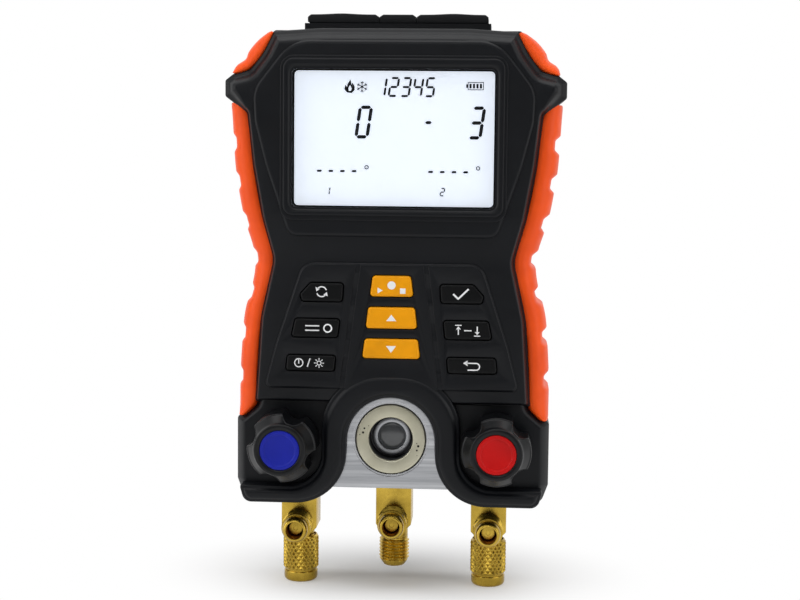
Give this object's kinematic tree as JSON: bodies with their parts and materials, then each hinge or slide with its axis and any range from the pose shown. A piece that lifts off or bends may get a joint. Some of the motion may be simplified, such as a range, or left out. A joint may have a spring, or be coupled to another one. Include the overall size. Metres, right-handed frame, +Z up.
{
  "type": "refrigerant manifold gauge",
  "caption": "Hand-held digital manifold gauge with a display, a keypad, hand valves, a sight glass, brass flare ports and a fold-out rear hook.",
  "frame": {"origin": "inside the curve of the rear hook, at its lowest point when the hook is folded away, where it hangs once the hook is up", "axes": "+X to the right as seen by the user, +Y from the display to the rear, +Z up"},
  "size_m": [0.1204, 0.057, 0.2089],
  "materials": {
    "shell_plastic": "fine-textured black ABS",
    "orange_grip": "soft orange overmould",
    "seal_rubber": "black rubber",
    "cover_rubber": "black rubber",
    "mat_rubber": "grey silicone",
    "window": "clear polycarbonate",
    "lcd": "liquid crystal display",
    "light_plate": "light guide",
    "amber_key": "amber plastic",
    "black_key": "black plastic",
    "board": "green laminate",
    "component": "moulded components",
    "cell_jacket": "printed cell jacket",
    "contact_steel": "nickel-plated spring steel",
    "block_aluminium": "brushed aluminium",
    "steel": "zinc-plated steel",
    "sensor_steel": "turned stainless steel",
    "ring_nickel": "satin nickel",
    "sight_glass": "toughened glass",
    "valve_brass": "turned brass",
    "port_brass": "turned brass",
    "knob_plastic": "black plastic",
    "low_blue": "blue plastic",
    "high_red": "red plastic",
    "socket": "black plastic sockets"
  },
  "bodies": {
    "root": {"front_shell": "shell_plastic", "rear_shell": "shell_plastic", "housing_seal": "seal_rubber", "left_upper_grip": "orange_grip", "right_upper_grip": "orange_grip", "left_side_grip": "orange_grip", "right_side_grip": "orange_grip", "display_window": "window", "lcd_panel": "lcd", "backlight_plate": "light_plate", "keypad_mat": "mat_rubber", "main_board": "board", "board_components": "component", "key_switches": "component", "batteries": "cell_jacket", "battery_contacts": "contact_steel", "manifold_block": "block_aluminium", "gallery_plug": "steel", "pressure_sensors": "sensor_steel", "sight_glass_ring": "ring_nickel", "sight_glass": "sight_glass", "sight_glass_seal": "seal_rubber", "low_valve_bonnet": "valve_brass", "high_valve_bonnet": "valve_brass", "bonnet_seals": "seal_rubber", "low_port": "port_brass", "centre_port": "port_brass", "high_port": "port_brass", "probe_sockets": "socket", "cover_anchor": "cover_rubber", "hook_pin": "steel", "housing_screws": "steel", "block_screws": "steel"},
    "record_key": {"record_key": "amber_key"},
    "up_key": {"up_key": "amber_key"},
    "down_key": {"down_key": "amber_key"},
    "left_top_key": {"left_top_key": "black_key"},
    "left_middle_key": {"left_middle_key": "black_key"},
    "left_bottom_key": {"left_bottom_key": "black_key"},
    "right_top_key": {"right_top_key": "black_key"},
    "right_middle_key": {"right_middle_key": "black_key"},
    "right_bottom_key": {"right_bottom_key": "black_key"},
    "low_piston": {"low_valve_piston": "valve_brass"},
    "low_knob": {"low_valve_knob": "knob_plastic", "low_knob_inlay": "low_blue", "low_knob_screw": "steel", "low_valve_stem": "valve_brass"},
    "low_cap_seal": {"low_cap_gasket": "seal_rubber"},
    "low_cap": {"low_port_cap": "port_brass"},
    "high_piston": {"high_valve_piston": "valve_brass"},
    "high_knob": {"high_valve_knob": "knob_plastic", "high_knob_inlay": "high_red", "high_knob_screw": "steel", "high_valve_stem": "valve_brass"},
    "high_cap_seal": {"high_cap_gasket": "seal_rubber"},
    "high_cap": {"high_port_cap": "port_brass"},
    "left_cover": {"left_probe_cover": "cover_rubber"},
    "right_cover": {"right_probe_cover": "cover_rubber"},
    "hook": {"hanging_hook": "shell_plastic"},
    "door": {"battery_door": "shell_plastic"}
  },
  "joints": [
    {"name": "record_key_press", "type": "slide", "parent": "root", "child": "record_key", "axis": [0, 1, 0], "range_m": [0, 0.0007], "stiffness_N_per_m": 500},
    {"name": "up_key_press", "type": "slide", "parent": "root", "child": "up_key", "axis": [0, 1, 0], "range_m": [0, 0.0007], "stiffness_N_per_m": 500},
    {"name": "down_key_press", "type": "slide", "parent": "root", "child": "down_key", "axis": [0, 1, 0], "range_m": [0, 0.0007], "stiffness_N_per_m": 500},
    {"name": "left_top_key_press", "type": "slide", "parent": "root", "child": "left_top_key", "axis": [0, 1, 0], "range_m": [0, 0.0007], "stiffness_N_per_m": 500},
    {"name": "left_middle_key_press", "type": "slide", "parent": "root", "child": "left_middle_key", "axis": [0, 1, 0], "range_m": [0, 0.0007], "stiffness_N_per_m": 500},
    {"name": "left_bottom_key_press", "type": "slide", "parent": "root", "child": "left_bottom_key", "axis": [0, 1, 0], "range_m": [0, 0.0007], "stiffness_N_per_m": 500},
    {"name": "right_top_key_press", "type": "slide", "parent": "root", "child": "right_top_key", "axis": [0, 1, 0], "range_m": [0, 0.0007], "stiffness_N_per_m": 500},
    {"name": "right_middle_key_press", "type": "slide", "parent": "root", "child": "right_middle_key", "axis": [0, 1, 0], "range_m": [0, 0.0007], "stiffness_N_per_m": 500},
    {"name": "right_bottom_key_press", "type": "slide", "parent": "root", "child": "right_bottom_key", "axis": [0, 1, 0], "range_m": [0, 0.0007], "stiffness_N_per_m": 500},
    {"name": "low_piston_lift", "type": "slide", "parent": "root", "child": "low_piston", "axis": [0, -1, 0], "range_m": [0, 0.003]},
    {"name": "low_valve_turn", "type": "hinge", "parent": "low_piston", "child": "low_knob", "pos_m": [-0.0376, -0.0399, -0.10835], "axis": [0, -1, 0], "range_deg": [0, 1080]},
    {"name": "low_cap_travel", "type": "slide", "parent": "root", "child": "low_cap_seal", "axis": [0, 0, -1], "range_m": [0, 0.01016]},
    {"name": "low_cap_turn", "type": "hinge", "parent": "low_cap_seal", "child": "low_cap", "pos_m": [-0.035, -0.0147, -0.1565], "axis": [0, 0, -1], "range_deg": [0, 2880]},
    {"name": "high_piston_lift", "type": "slide", "parent": "root", "child": "high_piston", "axis": [0, -1, 0], "range_m": [0, 0.003]},
    {"name": "high_valve_turn", "type": "hinge", "parent": "high_piston", "child": "high_knob", "pos_m": [0.0376, -0.0399, -0.10835], "axis": [0, -1, 0], "range_deg": [0, 1080]},
    {"name": "high_cap_travel", "type": "slide", "parent": "root", "child": "high_cap_seal", "axis": [0, 0, -1], "range_m": [0, 0.01016]},
    {"name": "high_cap_turn", "type": "hinge", "parent": "high_cap_seal", "child": "high_cap", "pos_m": [0.035, -0.0147, -0.1565], "axis": [0, 0, -1], "range_deg": [0, 2880]},
    {"name": "left_cover_flap", "type": "hinge", "parent": "root", "child": "left_cover", "pos_m": [-0.00665, -0.0159, 0.0435], "axis": [0, 1, 0], "range_deg": [0, 90]},
    {"name": "right_cover_flap", "type": "hinge", "parent": "root", "child": "right_cover", "pos_m": [0.00665, -0.0159, 0.0435], "axis": [0, -1, 0], "range_deg": [0, 90]},
    {"name": "hook_swing", "type": "hinge", "parent": "root", "child": "hook", "pos_m": [0, 0, 0.0295], "axis": [1, 0, 0], "range_deg": [0, 180]},
    {"name": "battery_door_lift", "type": "slide", "parent": "root", "child": "door", "axis": [0, 1, 0], "range_m": [0, 0.02]}
  ],
  "couplings": [
    {"joint": "low_piston_lift", "follows": "low_valve_turn", "m_per_rad": 0.00015915},
    {"joint": "low_cap_travel", "follows": "low_cap_turn", "m_per_rad": 0.00020212},
    {"joint": "high_piston_lift", "follows": "high_valve_turn", "m_per_rad": 0.00015915},
    {"joint": "high_cap_travel", "follows": "high_cap_turn", "m_per_rad": 0.00020212}
  ]
}
